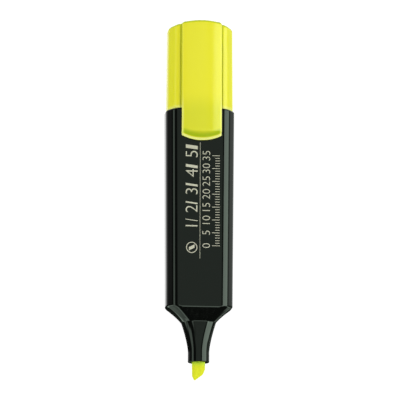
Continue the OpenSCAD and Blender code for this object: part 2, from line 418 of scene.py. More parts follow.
def add(tree, kind, inputs=None, **settings):
    """Adds a node with its settings. Inputs are values, or sockets to link."""
    node = tree.nodes.new(kind)
    for key, value in settings.items():
        setattr(node, key, value)
    for key, value in (inputs or {}).items():
        if isinstance(value, bpy.types.NodeSocket):
            tree.links.new(value, node.inputs[key])
        else:
            node.inputs[key].default_value = value
    return node


def calc(tree, operation, *values):
    """A Math node's result."""
    node = add(tree, "ShaderNodeMath", dict(enumerate(values)), operation=operation)
    return node.outputs[0]


def new_finish(name):
    """An empty material, its node tree and the piece's own coordinates."""
    material = bpy.data.materials.new(name)
    material.use_nodes = True
    tree = material.node_tree
    tree.nodes.clear()
    place = add(tree, "ShaderNodeTexCoord").outputs["Object"]
    return material, tree, place


def noise(tree, place, scale, stretch=(1, 1, 1), detail=3.0, rough=0.5):
    """Noise from 0 to 1 at a scale in cells per metre, stretched along the axes."""
    mapped = add(tree, "ShaderNodeMapping", {"Vector": place, "Scale": stretch})
    node = add(tree, "ShaderNodeTexNoise",
               {"Vector": mapped.outputs[0], "Scale": scale, "Detail": detail,
                "Roughness": rough})
    return node.outputs[0]


def remap(tree, value, low, high, start=0.0, end=1.0, kind="LINEAR"):
    """The value's range from start to end carried over to low to high."""
    node = add(tree, "ShaderNodeMapRange",
               {"Value": value, "From Min": start, "From Max": end,
                "To Min": low, "To Max": high}, interpolation_type=kind)
    return node.outputs[0]


def mix(tree, share, first, second):
    """A colour between two colours."""
    node = add(tree, "ShaderNodeMix", data_type="RGBA")
    for index, value in zip(MIX_INPUTS, (share, first, second)):
        if isinstance(value, bpy.types.NodeSocket):
            tree.links.new(value, node.inputs[index])
        else:
            node.inputs[index].default_value = value
    return node.outputs[MIX_OUTPUT]


def rgba(colour_value, factor=1.0):
    """A colour with full alpha, made lighter or darker by a factor."""
    return tuple(factor * c for c in colour_value) + (1.0,)


def tinted(colour_value, factors):
    """A colour with full alpha, with a factor of its own for red, green and blue."""
    return tuple(c * factor for c, factor in zip(colour_value, factors)) + (1.0,)


def bump(tree, height, depth, strength=1.0):
    """A surface normal from a height pattern of that depth in metres."""
    node = add(tree, "ShaderNodeBump",
               {"Height": height, "Distance": depth, "Strength": strength})
    return node.outputs[0]


def finish_shader(tree, inputs):
    """The plastic, felt or foil shader with its output."""
    shader = add(tree, "ShaderNodeBsdfPrincipled", inputs)
    add(tree, "ShaderNodeOutputMaterial", {"Surface": shader.outputs[0]})
    return shader


def black_plastic(name, base):
    """Polished black plastic with faint cloudiness, hairline scratches and wiped streaks."""
    material, tree, place = new_finish(name)
    cloud = noise(tree, place, scale=90.0, detail=4.0)
    streaks = noise(tree, place, scale=900.0, stretch=(1, 0.06, 1), detail=2.0)
    scratches = noise(tree, place, scale=4200.0, stretch=(1, 0.02, 1), detail=1.0)
    hair = remap(tree, scratches, low=0.0, high=1.0, start=0.66, end=0.74)
    shade = mix(tree, cloud, rgba(base, factor=0.7), rgba(base, factor=1.5))
    wiped = remap(tree, streaks, low=0.035, high=0.085, start=0.35, end=0.7)
    gloss = calc(tree, "ADD", wiped, calc(tree, "MULTIPLY", hair, SCRATCH_ROUGHNESS))
    finish_shader(tree, {
        "Base Color": shade, "Roughness": gloss, "IOR": 1.5,
        "Normal": bump(tree, hair, depth=0.4e-6)})
    return material


def yellow_plastic(name, base):
    """Fluorescent, slightly cloudy plastic: light spreads inside it. Its colour carries a
    painted glow at thin edges (the attribute edge) and a painted shade, darker and greener, where
    little light gets in (the attribute deep). Its moulded surface has a faint grain and flow lines."""
    material, tree, place = new_finish(name)
    cloud = noise(tree, place, scale=70.0, stretch=(1, 0.5, 1), detail=3.0)
    flow = noise(tree, place, scale=420.0, stretch=(1, 0.15, 1), detail=2.0)
    grain = noise(tree, place, scale=9000.0, detail=1.0)
    edge = add(tree, "ShaderNodeAttribute", attribute_name="edge").outputs["Fac"]
    deep = add(tree, "ShaderNodeAttribute", attribute_name="deep").outputs["Fac"]
    body = mix(tree, cloud, rgba(base, factor=0.97), rgba(base, factor=1.03))
    # Painted shade: a darker, greener colour where the attribute deep is set
    body = mix(tree, deep, body, tinted(base, PAINTED_SHADE_TINT))
    # Painted glow: a lighter colour where the attribute edge is set
    shade = mix(tree, edge, body, PAINTED_EDGE_GLOW)
    gloss = remap(tree, flow, low=0.16, high=0.24, start=0.3, end=0.7)
    finish_shader(tree, {
        "Base Color": shade, "Roughness": gloss, "IOR": 1.49,
        "Subsurface Weight": 0.3, "Subsurface Scale": 0.8 * MM,
        "Subsurface Radius": (1.0, 1.0, 0.25),
        "Normal": bump(tree, grain, depth=0.6e-6)})
    return material


def felt(name, base):
    """Pressed fibre soaked with ink: fine fibres along the nib and a mottled, dull surface."""
    material, tree, place = new_finish(name)
    fibre = noise(tree, place, scale=3200.0, stretch=(1, 0.16, 1), detail=4.0, rough=0.7)
    mottle = noise(tree, place, scale=700.0, detail=3.0)
    root = add(tree, "ShaderNodeAttribute", attribute_name="root").outputs["Fac"]
    damp = mix(tree, mottle, rgba(base, factor=0.9), rgba(base, factor=1.06))
    # Painted shade: a greener colour at the nib's root, where the snout shades it (the attribute
    # root)
    shade = mix(tree, root, damp, tinted(base, ROOT_PAINTED_SHADE_TINT))
    dry = remap(tree, fibre, low=0.0, high=0.22, start=0.4, end=0.75)
    fibres = mix(tree, dry, shade, rgba(base, factor=0.72))
    finish_shader(tree, {
        "Base Color": fibres, "Roughness": 0.72, "IOR": 1.4,
        "Subsurface Weight": 0.3, "Subsurface Scale": 0.6 * MM,
        "Subsurface Radius": (1.0, 1.0, 0.2),
        "Normal": bump(tree, fibre, depth=0.03 * MM, strength=0.8)})
    return material


def gold_foil(name, base):
    """Hot-stamped foil: satin metal, a little mottled where it has taken unevenly."""
    material, tree, place = new_finish(name)
    mottle = noise(tree, place, scale=1500.0, detail=3.0)
    shade = mix(tree, mottle, rgba(base, factor=0.85), rgba(base, factor=1.08))
    finish_shader(tree, {
        "Base Color": shade, "Metallic": 0.5,
        "Roughness": remap(tree, mottle, low=0.32, high=0.5), "IOR": 1.5})
    return material


def satin_plastic(name, base, scatter):
    """Unpolished inner moulding: even colour with a faint cloud and a spark-eroded grain."""
    material, tree, place = new_finish(name)
    cloud = noise(tree, place, scale=140.0, detail=3.0)
    grain = noise(tree, place, scale=5200.0, detail=2.0)
    shade = mix(tree, cloud, rgba(base, factor=0.93), rgba(base, factor=1.05))
    finish_shader(tree, {
        "Base Color": shade, "Roughness": remap(tree, grain, low=0.34, high=0.5),
        "IOR": 1.49, "Subsurface Weight": scatter, "Subsurface Scale": MM,
        "Normal": bump(tree, grain, depth=1.5e-6)})
    return material


def film(name):
    """Thin clear film round the reservoir, wound with a slight ripple."""
    material, tree, place = new_finish(name)
    ripple = noise(tree, place, scale=260.0, stretch=(1, 3, 1), detail=2.0)
    shade = mix(tree, ripple, *FILM_SHADES)
    finish_shader(tree, {
        "Base Color": shade, "Roughness": remap(tree, ripple, low=0.08, high=0.2),
        "IOR": 1.5, "Normal": bump(tree, ripple, depth=4e-6)})
    return material


def put_on(piece, material):
    """Gives a piece, or a CAD node, its only finish."""
    piece.data.materials.clear()
    piece.data.materials.append(material)


# ---------------------------------------------------------------- shapes

# The felt's waviness is the mean of sine waves. Each row holds radians per metre across, along
# and through the pen, and a phase. On average it narrows the nib by these shares of its width
# and of its depth.
FELT_WAVES = ((9100, 2300, 0, 0), (0, -3100, 8200, 1), (4300, 5200, -5200, 0))
WAVE_HEIGHT = (0.008, 0.012)

def section_run(y, stations, sizes, soft, samples=13):
    """Sizes of the sections at y. Each size follows straight lines between its stations, and
    is averaged over a short length along the pen, which rounds every edge across it."""
    places = y[:, None] + soft * np.linspace(-1, 1, samples)
    columns = [np.interp(places, stations, column).mean(1) for column in sizes.T]
    return np.stack(columns, -1)


def nib_hole(sizes, groove_width, groove_depth):
    """The outline of the hole that holds the nib: the nib's own outline, pushed out where a
    short air groove runs along the middle of each of its four sides."""
    points, normals = outline([sizes])
    across = np.abs(points)
    near = np.minimum(across[..., 0], across[..., 1])
    flat, edge = 0.45 * groove_width, 0.55 * groove_width
    inside = 1 - smooth_step(near, flat, edge)
    return on_axis(points + normals * (inside * groove_depth)[..., None])


def barrel_rings(s):
    """Rings of the barrel: the tube's end face, its outside back to the arched rear end, then
    the bore and the nib's hole forward to the start again."""
    neck_y = MOUTH_Y + s.tube + s.taper
    shoulder_y = neck_y + s.shoulder
    rear = octagon(BARREL_HIGH.x - BARREL_LOW.x, FRONT_Z, s.bevel, s.side, s.edge)
    front = octagon(s.front_width, FRONT_Z, s.bevel, s.side, s.edge)
    neck = np.array([s.neck_width, s.neck_depth, s.neck_face, s.neck_side, s.neck_edge])
    tube = round_section(s.tube_radius)

    early = 0.9 * MM                    # the taper starts this far ahead of the tube's end
    curve = np.linspace(0, 1, 16)
    climb = curve[1:, None]
    snout = tube + (neck - tube) * curve[:, None] ** SNOUT_POWERS
    shoulder = neck + (front - neck) * (climb - SHOULDER_SAG * climb * (1 - climb))
    stations = np.concatenate([[MOUTH_Y - s.tube],
                               MOUTH_Y + s.tube - early + curve * (s.taper + early),
                               neck_y + curve[1:] * s.shoulder, [RIM_Y]])
    sizes = np.vstack([tube, snout, shoulder, rear])

    tip_edge, rear_edge = 0.3 * MM, 0.55 * MM
    near = 0.9 * MM                     # rings lie closer within this distance of an edge
    y = stretches([MOUTH_Y + tip_edge, neck_y - near, neck_y + near, shoulder_y - near,
                   shoulder_y + near], steps=[55, 17, 9, 25])
    crisp, rounder = 0.12 * MM, 0.42 * MM
    soft = crisp + rounder * smooth_step(y, neck_y + near, shoulder_y - near)
    points, _ = outline(section_run(y, stations, sizes, soft[:, None]))
    forward = ring(on_axis(points), y[:, None])
    points, drop = edge_round(tube, tip_edge)
    tip = ring(on_axis(points), MOUTH_Y + drop)[::-1]

    last_y, full = y[-1], RIM_Y - shoulder_y
    share = np.linspace(0, 1, 24)[1:, None]
    run = front + (rear - front) * ((last_y - shoulder_y) / full
                                    + share * (RIM_Y - last_y) / full)
    points, _ = outline(run)
    end_y = RIM_Y - arch(points[..., 0], s.rim_radius) - rear_edge
    body = ring(on_axis(points), last_y + share * (end_y - last_y))
    points, drop = edge_round(rear, rear_edge)
    end = ring(on_axis(points), RIM_Y - arch(points[..., 0], s.rim_radius) - drop)[1:]

    bore_back = 0.8 * MM                # the bore starts this far behind the shoulder's edge
    throat_rear, throat_front = 5.4 * MM, 3.3 * MM
    points, _ = outline([thinner(front, s.wall)])
    bore_y = shoulder_y + bore_back
    bore_rear = ring(on_axis(points), RIM_Y - arch(points[..., 0], s.rim_radius))
    bore_front = ring(on_axis(points), bore_y)
    throat = [ring(on_axis(outline([round_section(radius)])[0]), y)
              for radius, y in ((throat_rear, bore_y), (throat_front, neck_y))]

    clearance, nib_corner = 0.04 * MM, 1.3 * MM
    groove_width, groove_depth = 1.2 * MM, 0.45 * MM
    lead_in, lead_length = 0.2 * MM, 0.25 * MM
    nib = rectangle_section(NIB_HIGH.x - NIB_LOW.x + clearance,
                            NIB_HIGH.z - NIB_LOW.z + clearance, nib_corner)
    wider = nib + np.array([1, 1, 1, 1, 0.5]) * lead_in
    hole = nib_hole(nib, groove_width, groove_depth)
    flared = nib_hole(wider, groove_width, groove_depth)
    hole_rings = [ring(hole, neck_y), ring(hole, MOUTH_Y + lead_length),
                  ring(flared, MOUTH_Y)]
    return np.concatenate([tip, forward[1:], body, end, bore_rear, bore_front, *throat,
                           *hole_rings])


def cap_rings(s, barrel):
    """Rings of the cap: from the middle of the inner end plate along the bore to the arched
    rim, over it and along the outside to the crown, and over the crown to its middle."""
    rim = octagon(s.rim_width, s.depth, barrel.bevel, s.side, barrel.edge)
    crown = octagon(s.crown_width, s.depth, barrel.bevel, s.side, barrel.edge)
    rim_edge, rim_gap, lead_in = 0.3 * MM, 0.02 * MM, 0.2 * MM

    def rim_line(x):
        return RIM_Y + rim_gap - arch(x, barrel.rim_radius)

    def crown_line(x):
        return CROWN_Y - arch(x, s.crown_radius)

    def grooved(points):
        """Points across the cap, lowered into the groove along each side of the clip."""
        bed, bank = 0.25 * s.groove, 0.6 * s.groove
        off = from_groove(points[..., 0], s.groove)
        dip = s.groove_depth * (1 - smooth_step(off, bed, bank)) * (points[..., 1] > 0)
        return points - np.stack([0 * dip, dip], -1)

    inner, inner_normals = outline([thinner(rim, s.wall)], arcs=CAP_ARC_STEPS)
    plate_y = RIM_Y + s.bore
    plate = [ring(on_axis(inner * share), plate_y) for share in (0.5, 1.0)]
    bore_end = rim_line(inner[..., 0]) + lead_in
    bore_wall = [ring(on_axis(inner), plate_y + share * (bore_end - plate_y))
                 for share in np.linspace(0, 1, 6)[1:]]
    bevelled = inner + inner_normals * lead_in
    lip = ring(on_axis(bevelled), rim_line(bevelled[..., 0]))
    points, drop = edge_round(rim, rim_edge, CAP_ARC_STEPS)
    rim_round = ring(on_axis(grooved(points)), rim_line(points[..., 0]) + drop)[::-1]

    share = np.linspace(0, 1, 28)[1:, None]
    points, _ = outline(rim + (crown - rim) * share, arcs=CAP_ARC_STEPS)
    low = rim_line(points[..., 0]) + rim_edge
    high = crown_line(points[..., 0]) - s.crown_edge
    wall = ring(on_axis(grooved(points)), low + share * (high - low))

    points, drop = edge_round(crown, s.crown_edge, CAP_ARC_STEPS)
    shoulder = ring(on_axis(grooved(points)), crown_line(points[..., 0]) - drop)
    face = points[-1:]
    top = [ring(on_axis(grooved(face) * share), crown_line(face[..., 0] * share))
           for share in np.linspace(0.85, 0.1, CAP_END_RINGS - 1)]
    rings = np.concatenate([*plate, *bore_wall, lip, rim_round, wall, shoulder[1:], *top])
    return rings, (0, plate_y, AXIS_Z), (0, CROWN_Y, AXIS_Z)


def clip_top(x, reach, s):
    """Height of the clip's outer surface at x, and at the distance reach from its free end:
    the lowest of the crosswise arch, and the slope that climbs from the lip."""
    blend = 0.28 * MM
    bowed = CLIP_HIGH.z - arch(x, s.bow)
    climb = np.maximum(reach - s.lip, 0) * s.drop / s.slope
    return soft_low(bowed, CLIP_HIGH.z - s.drop + climb, blend)


def clip_bottom(x, reach, y, s):
    """Height of the clip's underside: a solid block with a round pad across it at the free
    end, a shallow hollow along the middle, and a root that runs down into the cap."""
    block_gap, block_end, hollow_start = 0.5 * MM, 5.4 * MM, 6.2 * MM
    pad_y, pad_radius, pad_gap = CLIP_LOW.y + 3.2 * MM, 1.4 * MM, 0.14 * MM
    pad_blend, root_depth = 0.1 * MM, 0.9 * MM
    hinge = CLIP_JOINT["pos_m"][1]
    root_start, root_end = hinge - 0.2 * MM, hinge + 0.9 * MM

    block = FRONT_Z + block_gap
    pad = FRONT_Z + pad_gap + pad_radius - np.sqrt(
        np.maximum(pad_radius ** 2 - (y - pad_y) ** 2, 0))
    pad = np.where(np.abs(y - pad_y) < pad_radius, pad, block + MM)
    block = soft_low(block, pad, pad_blend)
    hollow = CLIP_HIGH.z - s.thickness - arch(x, s.hollow)
    under = block + (hollow - block) * smooth_step(reach, block_end, hollow_start)
    return under + (FRONT_Z - root_depth - under) * smooth_step(y, root_start, root_end)


def clip_rings(s, cap):
    """Rings of the clip, from its free end to the crown. Each ring runs over the arched top,
    round the long edges, down the sides and back along the underside; its stations lie
    between the rounded end and the crown's arch, in proportion."""
    half, span = CLIP_HIGH.x, CROWN_Y - CLIP_LOW.y
    over, under, corner = 28, 16, 8     # steps over the top, underneath and round an edge
    foot = 0.22 * MM                    # radius of the lower edges
    probe = 0.1 * MM                    # distance over which the top's tilt is measured
    end_edge, crown_edge = 0.3 * MM, cap.crown_edge

    # Closer over the lip and its slope, where the block ends, and from the bend to the crown
    reach = np.concatenate([np.linspace(end_edge, 5.0 * MM, 34),
                            np.linspace(5.3, 6.4, 8) * MM,
                            np.linspace(7.5 * MM, 36 * MM, 26),
                            np.linspace(36.5 * MM, span - crown_edge, 40)])
    share = (reach / span)[:, None]

    def ends(x):
        return CLIP_LOW.y + arch(x, s.end), CROWN_Y - arch(x, cap.crown_radius)

    def place(x):
        """Stations at x on every ring, and their distances from the free end."""
        low, high = ends(x)
        y = low + share * (high - low)
        return y, y - low

    edge_start = half - s.edge
    _, far = place(edge_start)
    tilt = np.arctan((clip_top(edge_start, far, s)
                      - clip_top(edge_start + probe, far, s)) / probe)
    inner = half - s.edge * (1 - np.sin(tilt))
    top_x = inner * np.linspace(-1, 1, over + 1)
    _, far = place(top_x)
    top_z = clip_top(top_x, far, s)
    bend = tilt + (np.pi / 2 - tilt) * np.linspace(0, 1, corner + 1)[1:]
    edge_x = inner + s.edge * (np.sin(bend) - np.sin(tilt))
    edge_z = top_z[:, -1:] + s.edge * (np.cos(bend) - np.cos(tilt))
    under_x = (half - foot) * np.linspace(1, -1, under + 1)
    under_x = np.broadcast_to(under_x, (len(reach), under + 1))
    under_y, far = place(under_x)
    under_z = clip_bottom(under_x, far, under_y, s)
    turn = np.pi / 2 * np.linspace(0, 1, corner + 1)
    foot_x = half - foot + foot * np.cos(turn)
    foot_x = np.broadcast_to(foot_x, (len(reach), corner + 1))
    foot_z = under_z[:, :1] + foot - foot * np.sin(turn)
    x = np.concatenate([top_x, edge_x, foot_x[:, :-1], under_x, -foot_x[:, ::-1][:, 1:],
                        -edge_x[:, ::-1]], 1)
    z = np.concatenate([top_z, edge_z, foot_z[:, :-1], under_z, foot_z[:, ::-1][:, 1:],
                        edge_z[:, ::-1]], 1)
    y, _ = place(x)

    across = np.roll(x, -1, 1) - np.roll(x, 1, 1)
    up = np.roll(z, -1, 1) - np.roll(z, 1, 1)
    size = np.hypot(across, up)
    side_x, side_z = -up / size, across / size
    inset, drop = fillet(CLIP_FILLET_STEPS)
    shrink = np.linspace(0.75, 0.25, CLIP_END_RINGS - 1)[:, None]

    def closing(row, edge, at_end):
        """The rounded edge and the flat of one end, as rings that shrink to the middle."""
        out_x = x[row] - np.outer(inset * edge, side_x[row])
        out_z = z[row] - np.outer(inset * edge, side_z[row])
        middle = 0.5 * (z[row].max() + z[row].min())
        out_x = np.vstack([out_x, out_x[-1] * shrink])
        out_z = np.vstack([out_z, middle + (out_z[-1] - middle) * shrink])
        fall = np.concatenate([drop * edge, np.zeros(len(shrink))])[:, None]
        low, high = ends(out_x)
        out_y = high - fall if at_end else low + fall
        return np.stack([out_x, out_y, out_z], -1), middle

    free, free_z = closing(0, end_edge, False)
    crown, crown_z = closing(-1, crown_edge, True)
    rings = np.concatenate([free[:0:-1], np.stack([x, y, z], -1), crown[1:]])
    return rings, (0, CLIP_LOW.y, free_z), (0, CROWN_Y, crown_z)


def nib_rings(s):
    """Rings of the nib, from its root inside the snout to the writing edge. A ring's stations
    lie between the straight root and the slanted writing edge, whose line is the highest of
    the slant and of the steep worn corners at the tip and the heel. Towards the edge the ring
    gets thinner by the two cut faces, and a fine waviness makes the felt uneven."""
    width = NIB_HIGH.x - NIB_LOW.x
    depth = NIB_HIGH.z - NIB_LOW.z
    tip_x, heel_x = NIB_LOW.x + s.tip, NIB_HIGH.x - s.heel
    tip_slope, tip_blend = 2.0, 0.9 * MM
    heel_slope, heel_blend = 2.6, 0.6 * MM
    margin = 0.05 * MM                  # kept clear of the frame's own tip
    root_y, root_near, root_far = MOUTH_Y + 6 * MM, 5.2 * MM, 9 * MM
    cut_start, cut_blend = s.wedge + 0.6 * MM, 0.35 * MM
    nose, thinnest = 0.35 * MM, 0.06    # length of the rounded edge, and what is left of it
    wear, worn_length = 0.01, 3.5 * MM  # share of the width worn away towards the edge
    calm, wavy = 0.1 * MM, 0.8 * MM     # the waviness sets in between these distances

    def writing_edge(x):
        slanted = (x - tip_x) * math.tan(s.slant)
        worn = (tip_x - x) * tip_slope
        heel = (x - heel_x) * heel_slope + (heel_x - tip_x) * math.tan(s.slant)
        lines = soft_low(soft_low(-slanted, -worn, tip_blend), -heel, heel_blend)
        return NIB_LOW.y + margin - lines

    points, _ = outline([rectangle_section(width, depth, s.corner)], arcs=14, flats=10)
    x, z = points[0].T
    turn = np.linspace(0, np.pi / 2, 9, endpoint=False)[1:]
    far = np.concatenate([stretches([root_far, cut_start, nose], steps=[9, 39]),
                          nose * (1 - np.sin(turn))])
    cut = s.edge + (depth / 2 - s.edge) * far / s.wedge
    half = soft_low(np.full_like(far, depth / 2), cut, cut_blend)
    rounding = np.sqrt(np.clip(1 - (1 - np.clip(far / nose, 0, 1)) ** 2, 0, 1))
    half = half * (thinnest + (1 - thinnest) * rounding)
    y = writing_edge(x) + far[:, None]
    y = y + (root_y - y) * smooth_step(far, root_near, root_far)[:, None]
    ring_z = z * (half / (depth / 2))[:, None]
    shrink = 1 - wear * (1 - smooth_step(far, 0, worn_length))[:, None]
    ring_x = np.broadcast_to(x, y.shape) * shrink
    wave = sum(np.sin(ring_x * by_x + y * by_y + ring_z * by_z + phase)
               for by_x, by_y, by_z, phase in FELT_WAVES) / len(FELT_WAVES)
    fade = smooth_step(far, calm, wavy)[:, None]
    ring_x = ring_x * (1 + WAVE_HEIGHT[0] * (wave - 1) * fade)
    ring_z = ring_z * (1 + WAVE_HEIGHT[1] * (wave - 1) * fade)
    rings = np.stack([ring_x, y, ring_z + AXIS_Z], -1)
    return rings, (0, root_y, AXIS_Z), tuple(rings[-1].mean(0))


def plug_rings(s, cap):
    """Rings of the rear plug: a skirt inside the barrel, a step, and the spigot that carries
    the cap, with a rounded end, two shallow grip rings and a recess in its end face."""
    skirt_fit, spigot_fit, step_gap = 0.02 * MM, 0.1 * MM, 0.02 * MM
    end_edge, grip_height, grip_width = 0.5 * MM, 0.14 * MM, 0.28 * MM
    grip_places = (2.6 * MM, 6.4 * MM)
    floor = 0.8 * MM                    # depth of the recess

    front = octagon(s.front_width, FRONT_Z, s.bevel, s.side, s.edge)
    rim = octagon(cap.rim_width, cap.depth, s.bevel, cap.side, s.edge)
    spigot = thinner(rim, cap.wall + spigot_fit)
    skirt, _ = outline([thinner(front, s.wall + skirt_fit)])
    skirt_end = ring(on_axis(skirt), PLUG_LOW.y)
    skirt_top = ring(on_axis(skirt), RIM_Y - arch(skirt[..., 0], s.rim_radius))

    points, normals = outline([spigot])
    step_y = RIM_Y - arch(points[..., 0], s.rim_radius) + step_gap
    rows = np.linspace(0, 1, 60)[:, None]
    y = step_y + rows * (PLUG_HIGH.y - end_edge - step_y)
    grip = sum(np.exp(-((y - (RIM_Y + at)) / grip_width) ** 2) for at in grip_places)
    wall = ring(on_axis(points - normals * (grip_height * (1 - grip))[..., None]), y)
    inset, drop = fillet()
    points = points - normals * grip_height - normals * (inset * end_edge)[:, None, None]
    edge = ring(on_axis(points), PLUG_HIGH.y - (end_edge * drop)[:, None])[1:]
    recess = [ring(on_axis(points[-1:] * share), PLUG_HIGH.y - deep)
              for share, deep in ((0.80, 0), (0.78, 0.1 * MM), (0.765, 0.7 * MM),
                                  (0.745, floor), (0.4, floor))]
    rings = np.concatenate([skirt_end, skirt_top, wall, edge, *recess])
    return rings, (0, PLUG_LOW.y, AXIS_Z), (0, PLUG_HIGH.y - floor, AXIS_Z)


# Layout of the print on the front face: x across the pen, y along it. The rule; the ring and
# the slanted bar of the plain sign; the stroke samples, each a number and a slanted bar beyond
# it, on the line SAMPLE_X; the ruler, whose ticks start on the line RULER_X.
RULE_X, RULE_START, RULE_END = -0.45 * MM, -23.3 * MM, 21.9 * MM
SIGN_X, SIGN_Y, SIGN_OUTER, SIGN_INNER = -3.6 * MM, -19.0 * MM, 2.15 * MM, 1.85 * MM
SIGN_BAR = {"left": -4.7 * MM, "right": -2.5 * MM, "start": -20.2 * MM, "end": -18.9 * MM,
            "slant": 1.1 * MM}
SAMPLE_X, SAMPLE_START, SAMPLE_GAP, SAMPLE_SLANT = -1.4 * MM, -12.1 * MM, 2.4 * MM, -0.6 * MM
SAMPLE_NUMBER, SAMPLE_BAR, BAR_WIDTH = 1.5 * MM, 3.9 * MM, 0.27
RULER_X, RULER_START, RULER_NUMBERS_X = 7.1 * MM, -18.2 * MM, 3.4 * MM
LONG_TICK, SHORT_TICK, LONG_EVERY = 2.9 * MM, 1.7 * MM, 5


def numeral(text, along, across, size):
    """A number on the front face that reads towards +Y, as points and faces in the plane of
    the face. It is centred on the station along, its foot is on the line x = across and it
    is size high."""
    curve = bpy.data.curves.new("numeral", "FONT")
    curve.body = text
    curve.extrude = 0.5
    curve.resolution_u = 4
    curve.offset = -0.014
    holder = bpy.data.objects.new("numeral", curve)
    bpy.context.scene.collection.objects.link(holder)
    bpy.context.view_layer.update()
    drawn = holder.evaluated_get(bpy.context.evaluated_depsgraph_get())
    mesh = bpy.data.meshes.new_from_object(drawn)
    bpy.data.objects.remove(holder)
    work = bmesh.new()
    work.from_mesh(mesh)
    bmesh.ops.remove_doubles(work, verts=work.verts, dist=1e-4)
    work.to_mesh(mesh)
    work.free()
    points = coordinates(mesh)
    faces = [tuple(face.vertices) for face in mesh.polygons]
    low, high = points.min(0), points.max(0)
    scale = size / (high - low)[1]
    x = across - (points[:, 1] - low[1]) * scale
    y = along + (points[:, 0] - (low + high)[0] / 2) * scale
    z = (points[:, 2] - low[2]) / (high - low)[2]
    return np.stack([x, y, z], -1), faces


def foil_ring(x, y, outer, inner, steps=48):
    """A flat ring round the point x, y of the face: four circles of points, joined in turn."""
    angle = np.linspace(0, 2 * np.pi, steps, endpoint=False)
    around = np.stack([np.cos(angle), np.sin(angle), 0 * angle], -1)
    circles = [around * (radius, radius, 0) + (x, y, height) for radius, height in
               ((outer, 0), (outer, 1), (inner, 1), (inner, 0))]
    index = np.arange(4 * steps).reshape(4, steps)
    below = np.roll(index, -1, axis=0)
    quads = np.stack([index, np.roll(index, -1, 1), np.roll(below, -1, 1), below], -1)
    return np.concatenate(circles), [tuple(quad) for quad in quads.reshape(-1, 4).tolist()]


def foil_bar(corners):
    """A flat bar, from its four corners in the plane of the face, anticlockwise."""
    corners = np.asarray(corners, float)
    flat = np.concatenate([corners, corners])
    height = np.repeat([0.0, 1.0], 4)[:, None]
    sides = [(i, (i + 1) % 4, (i + 1) % 4 + 4, i + 4) for i in range(4)]
    return np.hstack([flat, height]), [(3, 2, 1, 0), (4, 5, 6, 7), *sides]


def foil_box(left, right, start, end, slant=0.0):
    """A bar between two lines x and two stations; its ends may slant by a distance."""
    return foil_bar([(left, start), (right, start + slant), (right, end + slant), (left, end)])


# ---------------------------------------------------------------- operators

def settings():
    return bpy.context.scene.highlighter


class HIGHLIGHTER_OT_barrel(bpy.types.Operator):
    """Builds the polished black barrel with its shoulder and snout"""

    bl_idname = "highlighter.barrel"
    bl_label = "Barrel"

    def execute(self, context):
        piece = add_tube("barrel_moulding", barrel_rings(settings().barrel))
        put_on(piece, black_plastic("polished black plastic", settings().finish.black))
        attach(piece, "body")
        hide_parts("barrel")
        return {"FINISHED"}


class HIGHLIGHTER_OT_plug(bpy.types.Operator):
    """Builds the rear plug with the spigot that carries the cap"""

    bl_idname = "highlighter.plug"
    bl_label = "Rear plug"

    def execute(self, context):
        piece = add_tube("plug_moulding", *plug_rings(settings().barrel, settings().cap))
        put_on(piece, satin_plastic("satin black plastic", settings().finish.plug, scatter=0.0))
        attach(piece, "body")
        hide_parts("rear_plug")
        return {"FINISHED"}


class HIGHLIGHTER_OT_nib(bpy.types.Operator):
    """Builds the slanted felt nib"""

    bl_idname = "highlighter.nib"
    bl_label = "Nib"

    def execute(self, context):
        piece = add_tube("felt_nib", *nib_rings(settings().nib), sharp=60.0)
        y = coordinates(piece.data)[:, 1]
        # Painted shade at the nib's root, inside and just out of the snout
        shaded_from, shaded_to = MOUTH_Y - 2.2 * MM, MOUTH_Y + 0.5 * MM
        set_attribute(piece, "root", smooth_step(y, shaded_from, shaded_to))
        put_on(piece, felt("inked felt", settings().finish.felt))
        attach(piece, "body")
        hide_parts("chisel_nib")
        return {"FINISHED"}


class HIGHLIGHTER_OT_reservoir(bpy.types.Operator):
    """Finishes the ink reservoir and its film, which the barrel hides"""

    bl_idname = "highlighter.reservoir"
    bl_label = "Reservoir"

    def execute(self, context):
        put_on(frame["nodes"]["ink_reservoir"],
               felt("inked reservoir fibre", settings().finish.felt))
        put_on(frame["nodes"]["reservoir_wrap"], film("clear wound film"))
        return {"FINISHED"}


class HIGHLIGHTER_OT_cap(bpy.types.Operator):
    """Builds the cap's shell and finishes its liner"""

    bl_idname = "highlighter.cap"
    bl_label = "Cap"

    def execute(self, context):
        rings, start, end = cap_rings(settings().cap, settings().barrel)
        piece = add_tube("cap_moulding", rings, start, end)
        points = coordinates(piece.data)
        x, y, z = points.T
        groove = settings().cap.groove
        glow_start, glow_end = 0.1 * MM, 0.7 * MM
        shade_start, shade_end = 0.3 * groove, 0.8 * groove
        bevel_start, bevel_end = 9.4 * MM, 10.6 * MM
        painted_groove_shade_share, painted_bevel_shade_share = 0.3, 0.12

        # Painted glow: the attribute edge lightens the plastic just past the rim
        past_rim = y - (RIM_Y - arch(x, settings().barrel.rim_radius))
        set_attribute(piece, "edge", 1 - smooth_step(past_rim, glow_start, glow_end))
        # Painted shade: darker beside the clip's grooves, on the bevels and round the crown's edge,
        # stored as the attribute deep
        painted_groove_shade = 1 - smooth_step(from_groove(x, groove), shade_start, shade_end)
        painted_groove_shade = painted_groove_shade_share * painted_groove_shade * (z > AXIS_Z)
        bevels = painted_bevel_shade_share * smooth_step(np.abs(x), bevel_start, bevel_end)
        crown = crown_shade(points, settings().cap.crown_radius)
        set_deep(piece, [painted_groove_shade, crown, bevels], rings.shape[1], CAP_END_RINGS)
        put_on(piece, yellow_plastic("fluorescent plastic", settings().finish.yellow))
        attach(piece, "cap")
        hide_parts("cap_shell")
        put_on(frame["nodes"]["inner_cap"],
               satin_plastic("cloudy liner plastic", settings().finish.liner, scatter=0.3))
        return {"FINISHED"}


